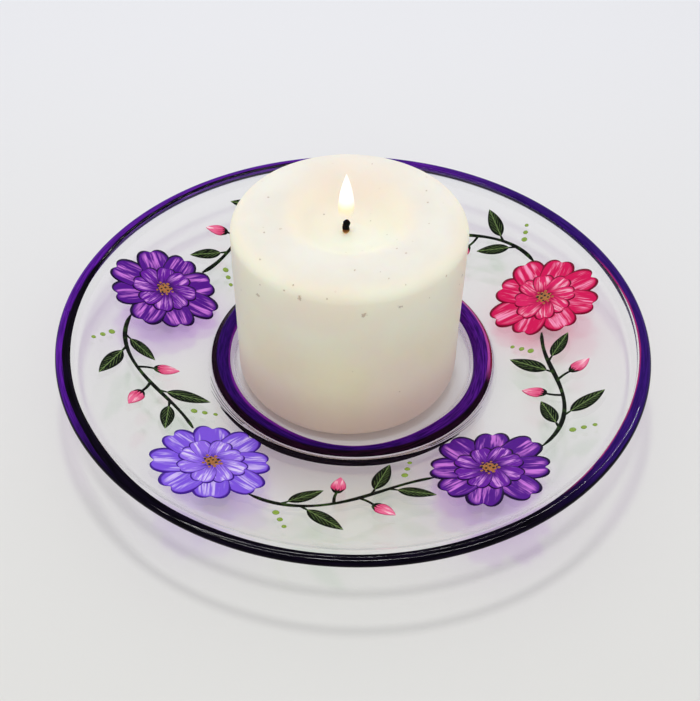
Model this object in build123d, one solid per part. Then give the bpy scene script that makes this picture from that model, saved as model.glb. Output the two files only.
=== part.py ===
from build123d import *
import os
from math import atan2, cos, degrees, hypot, pi, radians, sin, tan

# Glass candle plate with a painted rim, a painted ring and a painted garland, and the pillar candle on it.
# Millimetres, +Z up. The origin is on the table, under the middle of the plate.

# Glass plate
brim_width = 45.6           # clear glass between the painted ring and the painted rim
rim_height = 21.8           # table to the top of the glass rim
rim_bead_width = 4.8        # the rounded rim, measured outwards
rim_bead_height = 3.6
brim_thickness = 3.0        # glass between the ring and the rim
well_radius = 41.2          # flat floor that the candle stands on
well_floor_height = 4.0     # table to the floor's upper face
well_floor_thickness = 3.2
ridge_inner_run = 2.7       # the ridge rises this far outwards from the floor's edge
ridge_crest_width = 2.9
ridge_outer_run = 2.4
ridge_height = 4.0          # crest above the floor
ridge_outer_drop = 1.8      # crest down to the start of the brim
ridge_floor_rounding = 1.2
ridge_crest_rounding = 1.5
ridge_brim_rounding = 1.4
foot_width = 4.2            # the ring that touches the table, under the ridge
foot_inner_slope_run = 1.1
foot_outer_slope_run = 1.0
foot_rounding = 0.4

# Paint on the glass
paint_thickness = 0.2       # one coat
dab_thickness = 0.35        # the thicker dabs: flower centres and buds
paint_seat = 0.02           # between a coat and what it lies on
stroke_gap = 0.15           # between neighbouring strokes
rim_band_width = 5.0        # painted width at the rim, seen from above
ring_band_floor_margin = 0.5
ring_band_brim_margin = 0.2

# Painted garland
blossom_count = 5
petal_count = 8
first_blossom_angle = 18.0  # degrees from +X

# Candle
candle_height = 64.6
candle_clearance = 3.7      # candle's side to the edge of the well's floor
candle_base_rounding = 5.0
shoulder_width = 9.5
shoulder_drop = 6.6
dish_depth = 6.7            # the burnt hollow round the wick
dish_floor_radius = 7.0
wick_diameter = 2.2
wick_stand = 4.2            # wick above the wax
wick_gap = 0.05             # between wick, clip and wax
clip_diameter = 20.0
clip_thickness = 0.4
clip_neck_diameter = 4.4
clip_neck_height = 3.6
flame_length = 16.9
flame_diameter = 5.2
flame_gap = 0.3             # lowest point of the flame above the wick's tip

overrun = 1.0               # every cut and every paint outline runs this far past its target

# Shares of the sizes above, chosen by hand
candle_offset_share = (-0.52, -0.75)    # of the clearance, the candle doesn't stand in the middle
wick_offset_share = (-0.03, -0.05)      # of the candle's radius, the wick stands off its axis
motif_span_share = 0.54                 # a motif's room along the garland, of the way between two blossoms
blossom_reach_share = 0.425             # this and the next ones are of the motif's room
vine_width_share = 0.033
stalk_width_share = 0.022
leaf_stalk_share = 0.053                # from the vine's middle line
leaf_length_share = 0.318
leaf_width_share = 0.145
leaf_vein_width_share = 0.011
bud_length_share = 0.167
bud_width_share = 0.114
calyx_width_share = 0.079
calyx_length_share = 0.048
berry_diameter_share = 0.048
berry_step_share = 0.075
garland_wave_share = 0.14
petal_width_share = 0.546               # this and the next ones are of the blossom's reach
petal_notch_share = 0.062
petal_root_share = 0.206
centre_diameter_share = 0.371
inner_petal_length_share = 0.58         # of the outer petals
inner_petal_width_share = 0.62
vine_span_share = (0.15, 0.85)          # of the angle from one blossom to the next
leaf_place_shares = (0.29, 0.35, 0.575, 0.64)
leaf_size_shares = (0.86, 1.0, 1.0, 0.84)
leaf_sides = (1, -1, 1, -1)
leaf_lean = 42.0                        # degrees between leaf and vine
bud_lean = 64.0
berry_lean = 52.0
inner_petal_turn = 22.5                 # degrees past the outer petals
bud_place_shares = (0.45, 0.53)
bud_sides = (1, -1)
bud_stalk_share = 0.80                  # of a bud's length
berry_place_shares = (0.27, 0.70)
berry_sides = (-1, 1)
petal_side_shares = ((0.30, 0.42), (0.52, 0.50), (0.70, 0.50))
petal_shoulder_shares = ((0.90, 0.50), (1.00, 0.36), (1.00, 0.20))
petal_dip_shares = ((1.00, 0.08), (0.0, 0.04))
leaf_side_shares = ((0.18, 0.62), (0.62, 0.56))
leaf_far_side_shares = ((0.28, 0.60), (0.70, 0.40))
leaf_vein_share = 0.80
petal_length_shares = (1.0, 0.94, 0.98, 0.92, 1.0, 0.95, 0.93, 0.97)
berry_size_shares = (1.0, 0.85, 0.70)
wick_tip_rounding_share = 0.35
bud_side_shares = ((0.05, 0.78), (0.70, 0.42))
shoulder_ease_share = 0.50
dish_ease_share = 0.45
flame_belly_share = 0.28                # of the flame's length, where it is widest
flame_side_shares = ((0.62, 0.03), (1.0, 0.12))
flame_tip_shares = ((1.0, 0.55), (0.36, 0.86))
vine_points = 9
heading_step_share = 0.01

# Worked out from the sizes above
bead_height = rim_height - rim_bead_height / 2
ridge_crest_height = well_floor_height + ridge_height
ridge_crest_inner = well_radius + ridge_inner_run
ridge_crest_outer = ridge_crest_inner + ridge_crest_width
ridge_outer = ridge_crest_outer + ridge_outer_run
brim_start_height = ridge_crest_height - ridge_outer_drop
well_underside = well_floor_height - well_floor_thickness
foot_outer = (ridge_crest_outer + ridge_outer) / 2
foot_inner = foot_outer - foot_width
ring_band_inner = well_radius + ring_band_floor_margin
ring_band_outer = ridge_outer + ring_band_brim_margin
rim_band_inner = ring_band_outer + brim_width
plate_radius = rim_band_inner + rim_band_width
bead_radius = plate_radius - paint_thickness - paint_seat - rim_bead_width / 2
garland_radius = (rim_band_inner + ring_band_outer) / 2
blossom_pitch = 360 / blossom_count
blossom_step = 2 * garland_radius * sin(radians(blossom_pitch / 2))
motif_room = min(brim_width, motif_span_share * blossom_step)
blossom_reach = blossom_reach_share * motif_room
petal_width = petal_width_share * blossom_reach
petal_notch = petal_notch_share * blossom_reach
petal_root_width = petal_root_share * blossom_reach
centre_diameter = centre_diameter_share * blossom_reach
garland_wave = garland_wave_share * motif_room
vine_width = vine_width_share * motif_room
stalk_width = stalk_width_share * motif_room
leaf_stalk_length = leaf_stalk_share * motif_room
leaf_length = leaf_length_share * motif_room
leaf_width = leaf_width_share * motif_room
leaf_vein_width = leaf_vein_width_share * motif_room
bud_length = bud_length_share * motif_room
bud_width = bud_width_share * motif_room
calyx_width = calyx_width_share * motif_room
calyx_length = calyx_length_share * motif_room
berry_diameter = berry_diameter_share * motif_room
berry_step = berry_step_share * motif_room
first_coat = paint_seat
second_coat = first_coat + paint_thickness + paint_seat
candle_radius = well_radius - candle_clearance
candle_place = Pos(candle_offset_share[0] * candle_clearance,
                   candle_offset_share[1] * candle_clearance,
                   well_floor_height)
wick_place = Pos(wick_offset_share[0] * candle_radius, wick_offset_share[1] * candle_radius)
wax_at_wick = candle_height - dish_depth
wick_tip = wax_at_wick + wick_stand


def turned(section):
    """A section drawn as (radius, height), turned about the upright axis."""
    return revolve(Plane.XZ * section, axis=Axis.Z)


def outline(*edges):
    """The face inside a closed run of edges."""
    return make_face(Curve() + list(edges))


def at(share_pair, length, width):
    """A point given as shares of a length and a width."""
    return (share_pair[0] * length, share_pair[1] * width)


def mirrored(points):
    """The same points on the other side of the X axis."""
    return [(x, -y) for x, y in points]


# Glass plate: one pressed piece with a flat well, a raised ridge, a straight sloping brim and a rolled rim
def brim_slope():
    """Rise of the brim for each millimetre outwards, so that its middle runs into the rolled rim."""
    rise = bead_height + brim_thickness / 2 - brim_start_height
    return rise / (bead_radius - ridge_outer)


def glass_section():
    slope = brim_slope()
    upright_thickness = brim_thickness * hypot(1, slope)
    brim_end = bead_height + upright_thickness / 2
    underside_at_foot = brim_start_height - upright_thickness
    underside_at_foot = underside_at_foot + slope * (foot_outer + foot_outer_slope_run - ridge_outer)
    corners = [
        (0, well_underside),
        (0, well_floor_height),
        (well_radius, well_floor_height),
        (ridge_crest_inner, ridge_crest_height),
        (ridge_crest_outer, ridge_crest_height),
        (ridge_outer, brim_start_height),
        (bead_radius, brim_end),
        (bead_radius, brim_end - upright_thickness),
        (foot_outer + foot_outer_slope_run, underside_at_foot),
        (foot_outer, 0),
        (foot_inner, 0),
        (foot_inner - foot_inner_slope_run, well_underside),
    ]
    section = make_face(Polyline(*corners, close=True))
    roundings = [(2, ridge_floor_rounding), (3, ridge_crest_rounding), (4, ridge_crest_rounding),
                 (5, ridge_brim_rounding), (9, foot_rounding), (10, foot_rounding)]
    for corner, radius in roundings:
        spot = Vector(*corners[corner], 0)
        nearest = section.vertices().sort_by_distance(spot)[0]
        section = fillet(nearest, radius)
    return section + Pos(bead_radius, bead_height) * SlotOverall(rim_bead_width, rim_bead_height)


glass = glass_section()


def paint_section(lift, thickness, window):
    """A coat of paint on the glass: it lies lift above the glass inside the window."""
    coat = offset(glass, lift + thickness) - offset(glass, lift)
    return coat & window


def upright_window(inner, outer, bottom):
    """Everything between two radii and above one height."""
    width = outer - inner
    height = rim_height + overrun - bottom
    return Pos(inner + width / 2, bottom + height / 2) * Rectangle(width, height)


def brim_window():
    """The upper half of the brim, between the two painted bands."""
    inner = ring_band_outer + stroke_gap
    outer = rim_band_inner - stroke_gap
    inner_height = brim_start_height - brim_thickness / 2
    outer_height = inner_height + brim_slope() * (outer - inner)
    top = rim_height + overrun
    return make_face(Polyline((inner, inner_height), (outer, outer_height), (outer, top), (inner, top), close=True))


def rim_band():
    """Paint wrapped round the rolled rim, over its upper face, its edge and its underside."""
    window = upright_window(rim_band_inner, plate_radius + overrun, -overrun)
    return turned(paint_section(first_coat, paint_thickness, window))


def ring_band():
    """Paint over the raised ridge that stands round the candle."""
    window = upright_window(ring_band_inner, ring_band_outer, well_floor_height + first_coat)
    return turned(paint_section(first_coat, paint_thickness, window))


# Painted garland: strokes drawn from above, each cut out of a coat that lies on the sloping brim
def brim_coat(lift, thickness):
    return turned(paint_section(lift, thickness, brim_window()))


def painted(strokes, coat):
    """The part of a coat that lies under the strokes."""
    return extrude(strokes, amount=rim_height + overrun) & coat


def petal(length, width, root_width):
    """One petal along +X from the blossom's middle, with a round end and a shallow notch in it."""
    root = (0, root_width / 2)
    side = [at(pair, length, width) for pair in petal_side_shares]
    shoulder = [at(pair, length, width) for pair in petal_shoulder_shares]
    dip = [at(petal_dip_shares[0], length, width),
           (length - petal_notch, petal_dip_shares[1][1] * width),
           (length - petal_notch, 0)]
    upper = [[root] + side, [side[-1]] + shoulder, [shoulder[-1]] + dip]
    lower = [mirrored(points)[::-1] for points in upper[::-1]]
    edges = [Bezier(*points) for points in upper + lower]
    return outline(*edges, Line(mirrored([root])[0], root))


def petal_wedge(length, angle, gap):
    """The slice of the blossom that belongs to one petal, with half a gap on each side."""
    half = radians(angle / 2)
    tip = gap / 2 / sin(half)
    spread = length * tan(half)
    return make_face(Polyline((tip, 0), (tip + length, spread), (tip + length, -spread), close=True))


def petal_ring(reach, width):
    """A ring of petals round a bare middle, each one its own stroke."""
    pitch = 360 / petal_count
    wedge = petal_wedge(reach + overrun, pitch, stroke_gap)
    middle = Circle(centre_diameter / 2 + stroke_gap)
    strokes = Sketch()
    for number, share in enumerate(petal_length_shares):
        stroke = (petal(reach * share, width, petal_root_width) & wedge) - middle
        strokes += Rot(0, 0, number * pitch) * stroke
    return strokes


def blossom_clearing(reach, width):
    """What the blossom's outer petals cover, a gap wider all round."""
    clearing = Sketch() + Circle(reach / 2)
    for number, share in enumerate(petal_length_shares):
        grown = petal(reach * share + stroke_gap, width + 2 * stroke_gap, petal_root_width)
        clearing += Rot(0, 0, number * 360 / petal_count) * grown
    return clearing


def blossom_place(number):
    """Where a blossom's middle lies, turned with the plate."""
    return Rot(0, 0, first_blossom_angle + number * blossom_pitch) * Pos(garland_radius, 0)


# The vine waves from one blossom to the next
def vine_point(share):
    angle = radians(first_blossom_angle + share * blossom_pitch)
    radius = garland_radius + garland_wave * sin(2 * pi * share)
    return Vector(radius * cos(angle), radius * sin(angle))


def vine_heading(share):
    """The way the vine runs at a share of its span, in degrees."""
    run = vine_point(share + heading_step_share) - vine_point(share - heading_step_share)
    return degrees(atan2(run.Y, run.X))


def beside_vine(share, side, lean, distance):
    """A place off the vine's middle line, with +X leaning away from it."""
    spot = vine_point(share)
    on_vine = Pos(spot.X, spot.Y) * Rot(0, 0, vine_heading(share))
    return on_vine * Pos(0, side * distance) * Rot(0, 0, side * lean)


def vine_edge(side):
    """One long edge of the vine's stroke."""
    first, last = vine_span_share
    shares = [first + (last - first) * step / (vine_points - 1) for step in range(vine_points)]
    spots = [beside_vine(share, side, 0, vine_width / 2).position for share in shares]
    return [(spot.X, spot.Y) for spot in spots]


def vine_line():
    near = vine_edge(1)
    far = vine_edge(-1)
    return outline(Spline(*near), Line(near[-1], far[-1]), Spline(*far[::-1]), Line(far[0], near[0]))


def leaf():
    """A pointed leaf along +X, with its middle vein left bare."""
    near = [at(pair, leaf_length, leaf_width) for pair in leaf_side_shares]
    far = [at(pair, leaf_length, -leaf_width) for pair in leaf_far_side_shares]
    blade = outline(Bezier((0, 0), *near, (leaf_length, 0)), Bezier((leaf_length, 0), *far[::-1], (0, 0)))
    vein_end = leaf_vein_share * leaf_length
    vein = Polyline((0, leaf_vein_width / 2), (vein_end, 0), (0, -leaf_vein_width / 2), close=True)
    return blade - make_face(vein)


def bud(grown):
    """A closed bud along +X, round at its base and pointed at its tip, grown by a gap all round."""
    length = bud_length + 2 * grown
    width = bud_width + 2 * grown
    upper = [(0, 0)] + [at(pair, length, width) for pair in bud_side_shares] + [(length, 0)]
    return Pos(-grown, 0) * outline(Bezier(*upper), Bezier(*mirrored(upper)[::-1]))


def bud_stalk():
    """A stalk from the vine's middle line along +X, ending in a cup that holds the bud."""
    length = bud_stalk_share * bud_length
    stalk = Pos(length / 2, 0) * Rectangle(length, stalk_width)
    cup = Pos(length, 0) * Ellipse(calyx_length / 2, calyx_width / 2)
    return stalk + cup - Pos(length, 0) * bud(stroke_gap)


def leaf_stalk():
    return Pos(leaf_stalk_length / 2, 0) * Rectangle(leaf_stalk_length, stalk_width)


def vine():
    """The vine between two blossoms, with the stalks of its leaves and buds."""
    strokes = Sketch() + vine_line()
    for share, side in zip(leaf_place_shares, leaf_sides):
        strokes += beside_vine(share, side, leaf_lean, 0) * leaf_stalk()
    for share, side in zip(bud_place_shares, bud_sides):
        strokes += beside_vine(share, side, bud_lean, 0) * bud_stalk()
    clearing = blossom_clearing(blossom_reach, petal_width)
    return strokes - blossom_place(0) * clearing - blossom_place(1) * clearing


def leaves():
    strokes = Sketch()
    for share, size_share, side in zip(leaf_place_shares, leaf_size_shares, leaf_sides):
        place = beside_vine(share, side, leaf_lean, 0) * Pos(leaf_stalk_length + stroke_gap, 0)
        strokes += place * scale(leaf(), size_share)
    return strokes


def buds():
    strokes = Sketch()
    for share, side in zip(bud_place_shares, bud_sides):
        strokes += beside_vine(share, side, bud_lean, 0) * Pos(bud_stalk_share * bud_length, 0) * bud(0)
    return strokes


def berries():
    """Short rows of round dots that lean away from the vine."""
    strokes = Sketch()
    for share, side in zip(berry_place_shares, berry_sides):
        for step, size_share in enumerate(berry_size_shares):
            place = beside_vine(share, side, berry_lean, vine_width) * Pos((step + 1) * berry_step, 0)
            strokes += place * Circle(berry_diameter / 2 * size_share)
    return strokes


# Candle: a wax pillar burnt a little hollow, its wick, the metal clip that holds the wick, and the flame
def wax_body():
    crest = candle_radius - shoulder_width
    shoulder = Bezier((candle_radius, candle_height - shoulder_drop),
                      (candle_radius, candle_height - shoulder_drop * (1 - shoulder_ease_share)),
                      (crest + shoulder_width * shoulder_ease_share, candle_height),
                      (crest, candle_height))
    slope_run = crest - dish_floor_radius
    hollow = Bezier((crest, candle_height),
                    (crest - slope_run * dish_ease_share, candle_height),
                    (dish_floor_radius + slope_run * dish_ease_share, wax_at_wick),
                    (dish_floor_radius, wax_at_wick))
    rounding = RadiusArc((candle_radius - candle_base_rounding, 0), (candle_radius, candle_base_rounding),
                         -candle_base_rounding)
    section = outline(Line((0, 0), (candle_radius - candle_base_rounding, 0)),
                      rounding,
                      Line((candle_radius, candle_base_rounding), (candle_radius, candle_height - shoulder_drop)),
                      shoulder,
                      hollow,
                      Line((dish_floor_radius, wax_at_wick), (0, wax_at_wick)),
                      Line((0, wax_at_wick), (0, 0)))
    bore = wick_clip_blank(wick_gap) + wick_blank(wick_gap, wax_at_wick + overrun)
    return turned(section) - wick_place * bore


def upright_rod(diameter, bottom, top):
    return Pos(0, 0, bottom) * Cylinder(diameter / 2, top - bottom, align=(Align.CENTER, Align.CENTER, Align.MIN))


def wick_blank(gap, top):
    """The room that the wick takes, with a gap round it."""
    return upright_rod(wick_diameter + 2 * gap, -overrun, top)


def wick_clip_blank(gap):
    """The room that the clip's disc and neck take, with a gap round them."""
    disc = upright_rod(clip_diameter + 2 * gap, -overrun if gap else 0, clip_thickness + gap)
    neck = upright_rod(clip_neck_diameter + 2 * gap, 0, clip_neck_height + gap)
    return disc + neck


def wick_clip():
    return wick_clip_blank(0) - wick_blank(wick_gap, clip_neck_height + overrun)


def wick():
    rod = upright_rod(wick_diameter, 0, wick_tip)
    tip = rod.edges().sort_by(Axis.Z)[-1]
    return fillet(tip, wick_diameter * wick_tip_rounding_share)


def flame():
    bottom = wick_tip + flame_gap
    radius = flame_diameter / 2

    def shaped(pair):
        return (pair[0] * radius, bottom + pair[1] * flame_length)

    belly = shaped((1, flame_belly_share))
    tip = (0, bottom + flame_length)
    lower = Bezier((0, bottom), *[shaped(pair) for pair in flame_side_shares], belly)
    upper = Bezier(belly, *[shaped(pair) for pair in flame_tip_shares], tip)
    return turned(outline(lower, upper, Line(tip, (0, bottom))))


outer_petals = petal_ring(blossom_reach, petal_width)
inner_petals = Rot(0, 0, inner_petal_turn) * petal_ring(blossom_reach * inner_petal_length_share,
                                                        petal_width * inner_petal_width_share)
single_coat = brim_coat(first_coat, paint_thickness)
upper_coat = brim_coat(second_coat, paint_thickness)
dab_coat = brim_coat(first_coat, dab_thickness)

# One stretch of the garland, from a blossom to the next, repeated round the plate
garland = {
    "blossom_{}_outer_petals": painted(blossom_place(0) * outer_petals, single_coat),
    "blossom_{}_inner_petals": painted(blossom_place(0) * inner_petals, upper_coat),
    "blossom_{}_centre": painted(blossom_place(0) * Circle(centre_diameter / 2), dab_coat),
    "vine_{}": painted(vine(), single_coat),
    "leaves_{}": painted(leaves(), single_coat),
    "buds_{}": painted(buds(), dab_coat),
    "berries_{}": painted(berries(), dab_coat),
}
parts = {
    "glass_plate": turned(glass),
    "rim_band": rim_band(),
    "ring_band": ring_band(),
    "wax_body": candle_place * wax_body(),
    "wick": candle_place * wick_place * wick(),
    "wick_clip": candle_place * wick_place * wick_clip(),
    "flame": candle_place * wick_place * flame(),
}
for name, shape in garland.items():
    for number in range(blossom_count):
        parts[name.format(number + 1)] = Rot(0, 0, number * blossom_pitch) * shape

os.makedirs("parts", exist_ok=True)
for name, shape in parts.items():
    export_step(shape, "parts/" + name + ".step")
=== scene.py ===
from math import atan2, cos, degrees, exp, hypot, pi, radians, sin, sqrt
from random import Random

import bmesh
import bpy
from mathutils import Matrix, Vector, noise


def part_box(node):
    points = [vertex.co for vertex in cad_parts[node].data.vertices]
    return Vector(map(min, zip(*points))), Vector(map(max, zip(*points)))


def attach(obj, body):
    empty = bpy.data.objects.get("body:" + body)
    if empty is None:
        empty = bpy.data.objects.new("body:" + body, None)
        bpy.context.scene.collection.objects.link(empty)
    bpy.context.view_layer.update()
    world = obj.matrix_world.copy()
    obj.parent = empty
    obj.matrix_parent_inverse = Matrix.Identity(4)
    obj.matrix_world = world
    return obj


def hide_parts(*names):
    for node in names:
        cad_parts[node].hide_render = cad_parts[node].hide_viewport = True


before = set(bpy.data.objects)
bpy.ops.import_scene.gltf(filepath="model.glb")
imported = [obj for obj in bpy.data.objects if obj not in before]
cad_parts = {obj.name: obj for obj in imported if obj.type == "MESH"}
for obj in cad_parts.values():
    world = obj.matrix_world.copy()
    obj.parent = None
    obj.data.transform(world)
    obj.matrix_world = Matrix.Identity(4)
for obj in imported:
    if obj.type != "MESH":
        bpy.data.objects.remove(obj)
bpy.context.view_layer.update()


# Glass plate
# One pressed piece of clear glass: a foot ring, a flat well, a raised ridge round the well, a straight brim
# and a rolled rim. It stands on the table on its foot ring, and carries everything else.
mm = 0.001
rim_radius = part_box("rim_band")[1].x
rim_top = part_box("glass_plate")[1].z
coat_thickness = 0.22 * mm
bead_width = 4.8 * mm
bead_height = 3.6 * mm
bead_radius = rim_radius - coat_thickness - bead_width / 2
bead_middle = rim_top - bead_height / 2
glass_thickness = 3.0 * mm
floor_top = 4.0 * mm
floor_underside = 0.8 * mm
floor_rounding = 0.5 * mm
well_radius = 41.2 * mm
well_rounding = 2.4 * mm
crest_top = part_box("ring_band")[1].z - coat_thickness
crest_inner = 43.9 * mm
crest_outer = 46.8 * mm
crest_rounding = 1.5 * mm
ridge_outer = 49.2 * mm
ridge_rounding = 1.4 * mm
brim_start = 6.2 * mm
brim_width = 45.6 * mm
straight_end = bead_radius - 6 * mm
foot_outer = 48.0 * mm
foot_inner = 43.8 * mm
foot_rounding = 0.4 * mm
foot_flare = 1.0 * mm
foot_taper = 1.1 * mm
neck_rounding = 0.8 * mm
turn_steps = 288


def rounded(corners):
    """A smooth run of points through corners given as (radius, height, rounding)."""
    points = []
    steps = 8
    for index, (r, z, rounding) in enumerate(corners):
        here = Vector((r, z))
        if rounding == 0 or index in (0, len(corners) - 1):
            points.append((r, z))
            continue
        back = (Vector(corners[index - 1][:2]) - here).normalized()
        ahead = (Vector(corners[index + 1][:2]) - here).normalized()
        half = back.angle(ahead) / 2
        reach = rounding * cos(half) / sin(half)
        middle = here + (back + ahead).normalized() * rounding / sin(half)
        start = here + back * reach - middle
        turn = start.angle_signed(here + ahead * reach - middle)
        for step in range(steps + 1):
            angle = -turn * step / steps
            points.append((middle.x + start.x * cos(angle) - start.y * sin(angle),
                           middle.y + start.x * sin(angle) + start.y * cos(angle)))
    return points


def arc(r, z, size, first, last, steps):
    """Points on a circle about (r, z), from one angle to another in degrees."""
    angles = [radians(first + (last - first) * step / steps) for step in range(steps + 1)]
    return [(r + size * cos(angle), z + size * sin(angle)) for angle in angles]


def new_piece(name, points, faces, material):
    """A smooth mesh with its faces turned outwards, in one material."""
    mesh = bpy.data.meshes.new(name)
    mesh.from_pydata(points, [], faces)
    built = bmesh.new()
    built.from_mesh(mesh)
    bmesh.ops.recalc_face_normals(built, faces=built.faces)
    built.to_mesh(mesh)
    built.free()
    for face in mesh.polygons:
        face.use_smooth = True
    mesh.materials.append(material)
    piece = bpy.data.objects.new(name, mesh)
    bpy.context.scene.collection.objects.link(piece)
    return piece


def between(rings):
    """Faces from each closed ring of point numbers to the next; a ring may be one point many times over."""
    faces = []
    for low, high in zip(rings, rings[1:]):
        for step in range(len(low)):
            follow = (step + 1) % len(low)
            corners = [low[step], low[follow], high[follow], high[step]]
            face = [corner for index, corner in enumerate(corners) if corner != corners[index - 1]]
            if len(face) > 2:
                faces.append(face)
    return faces


def turned(name, profile, material, middle=(0, 0), closed=True, shift=None):
    """A profile of (radius, height) turned about an upright axis. A point with no radius becomes a pole."""
    points, rings = [], []
    for r, z in profile:
        if r < 1e-7:
            rings.append([len(points)] * turn_steps)
            points.append((middle[0], middle[1], z))
            continue
        rings.append(list(range(len(points), len(points) + turn_steps)))
        for step in range(turn_steps):
            angle = 2 * pi * step / turn_steps
            point = Vector((middle[0] + r * cos(angle), middle[1] + r * sin(angle), z))
            points.append(shift(point) if shift else point)
    if closed:
        rings.append(rings[0])
    return new_piece(name, points, between(rings), material)


brim_run = bead_radius - ridge_outer
upright_thickness = glass_thickness * hypot(1, (bead_middle + glass_thickness / 2 - brim_start) / brim_run)
brim_slope = (bead_middle + upright_thickness / 2 - brim_start) / brim_run


def brim_height(radius):
    """Height of the brim's upper face."""
    return brim_start + brim_slope * (radius - ridge_outer)


def bead_outline():
    """The rolled rim, from the brim's upper face round to its underside."""
    size = bead_height / 2
    inner = bead_radius - bead_width / 2 + size
    outer = bead_radius + bead_width / 2 - size
    along = Vector((1, brim_slope)).normalized()

    def meeting(rise, out):
        """The angle at which a face of the brim runs into the roll, in degrees about the roll's middle."""
        foot = rise / hypot(1, brim_slope)
        meet = out * foot - along * sqrt(size * size - foot * foot)
        return degrees(atan2(meet.y, meet.x))

    start = meeting(brim_height(inner) - bead_middle, Vector((-along.y, along.x)))
    end = meeting(bead_middle - (brim_height(inner) - upright_thickness), Vector((along.y, -along.x)))
    if end > 0:
        end -= 360
    return (arc(inner, bead_middle, size, start, 90, 10)
            + arc(outer, bead_middle, size, 90, -90, 24)
            + arc(inner, bead_middle, size, -90, end, 10))


upper_face = rounded([
    (0, floor_top, 0),
    (well_radius, floor_top, well_rounding),
    (crest_inner, crest_top, crest_rounding),
    (crest_outer, crest_top, crest_rounding),
    (ridge_outer, brim_start, ridge_rounding),
    (straight_end, brim_height(straight_end), 0),
])
underside = rounded([
    (straight_end, brim_height(straight_end) - upright_thickness, 0),
    (foot_outer + foot_flare, brim_height(foot_outer + foot_flare) - upright_thickness, neck_rounding),
    (foot_outer, 0, foot_rounding),
    (foot_inner, 0, foot_rounding),
    (foot_inner - foot_taper, floor_underside, floor_rounding),
    (0, floor_underside, 0),
])


def put(tree, value, socket):
    """Gives a socket a fixed value, or links it to another node's output."""
    if isinstance(value, bpy.types.NodeSocket):
        tree.links.new(value, socket)
    else:
        socket.default_value = value


def math_node(tree, operation, *values):
    """A Math node; each value is a number or another node's output."""
    node = tree.nodes.new("ShaderNodeMath")
    node.operation = operation
    for value, socket in zip(values, node.inputs):
        put(tree, value, socket)
    return node.outputs[0]


def new_material(name, finish):
    """A material whose shader has the finish's values, returned with its node tree."""
    material = bpy.data.materials.new(name)
    material.use_nodes = True
    shader = material.node_tree.nodes["Principled BSDF"]
    for socket, value in finish.items():
        shader.inputs[socket].default_value = value
    return material, material.node_tree


def mix_by_ray(tree, ray, usual, special, output):
    """Shows a special shader to some rays of light, and the usual one to the others."""
    mix = tree.nodes.new("ShaderNodeMixShader")
    tree.links.new(ray, mix.inputs[0])
    tree.links.new(usual.outputs[0], mix.inputs[1])
    tree.links.new(special.outputs[0], mix.inputs[2])
    tree.links.new(mix.outputs[0], tree.nodes[output].inputs["Surface"])


def shade_through(tree, tint, thick=False):
    """Lets light pass on as if through a tinted film, so that the piece casts a soft coloured shadow."""
    film = tree.nodes.new("ShaderNodeBsdfTransparent")
    put(tree, tint, film.inputs["Color"])
    path = tree.nodes.new("ShaderNodeLightPath")
    ray = path.outputs["Is Shadow Ray"]
    if not thick:
        ray = math_node(tree, "MAXIMUM", ray, path.outputs["Is Diffuse Ray"])
    mix_by_ray(tree, ray, tree.nodes["Principled BSDF"], film, "Material Output")


clear_glass, tree = new_material("clear_glass", {
    "Base Color": (0.995, 0.998, 0.997, 1), "Roughness": 0.02, "IOR": 1.5, "Transmission Weight": 1})
shade_through(tree, (0.99, 0.992, 0.99, 1))

glass = turned("glass_body", upper_face + bead_outline() + underside, clear_glass)
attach(glass, "plate")
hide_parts("glass_plate")


# Painted rim
# A band of violet glass paint, brushed over the rolled rim from its upper face to its underside and bonded to
# it, so that its inner face lies a hair inside the glass. Its colour carries painted light and shade:
# near-black at the front, in a stripe inside along the left and in a line round its outer edge, and lighter
# violet towards the back left. It leaves a thin pink line inside at the right.
seat = 0.03 * mm
coat = 0.19 * mm
bite = 0.05 * mm
rim_inner = 94.4 * mm
rim_edges = (96.0, 95.3, 95.5, 95.8, 95.8, 95.5, 94.8, 95.2, 97.3, 97.5, 97.1, 95.6)
rim_under = 98.2 * mm
rim_outside = 99.8
band_steps = 44
edge_steps = 3
edge_coat_share = 0.3
lean_reach = 0.2 * mm
painted_light_turn = 140
stripe_turn = 170
widest_turn = 215
front_turn = 266
pink_turn = 347
shadow_tint = (0.72, 0.58, 0.78, 1)
front_shadow_tint = (0.22, 0.21, 0.23, 1)


def round_plate(values, turn):
    """A smooth value between those listed at even turns round the plate, from the right over the back."""
    place = turn / (2 * pi) * len(values)
    step = int(place)
    share = place - step
    smooth = share * share * (3 - 2 * share)
    here = values[step % len(values)]
    return here + (values[(step + 1) % len(values)] - here) * smooth


def distance_to(line, radius):
    """How far along a run of (radius, height) points a radius is first reached."""
    walked = 0
    for (r, z), (next_r, next_z) in zip(line, line[1:]):
        length = hypot(next_r - r, next_z - z)
        if min(r, next_r) <= radius <= max(r, next_r) and r != next_r:
            return walked + length * (radius - r) / (next_r - r)
        walked += length
    return walked


def spot_along(line, distance):
    """The point at a distance along a run of points, and the direction out of the glass there."""
    for (r, z), (next_r, next_z) in zip(line, line[1:]):
        length = hypot(next_r - r, next_z - z)
        if distance <= length:
            break
        distance -= length
    share = min(1, distance / length)
    return (Vector((r + (next_r - r) * share, z + (next_z - z) * share)),
            Vector((z - next_z, next_r - r)).normalized())


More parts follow.
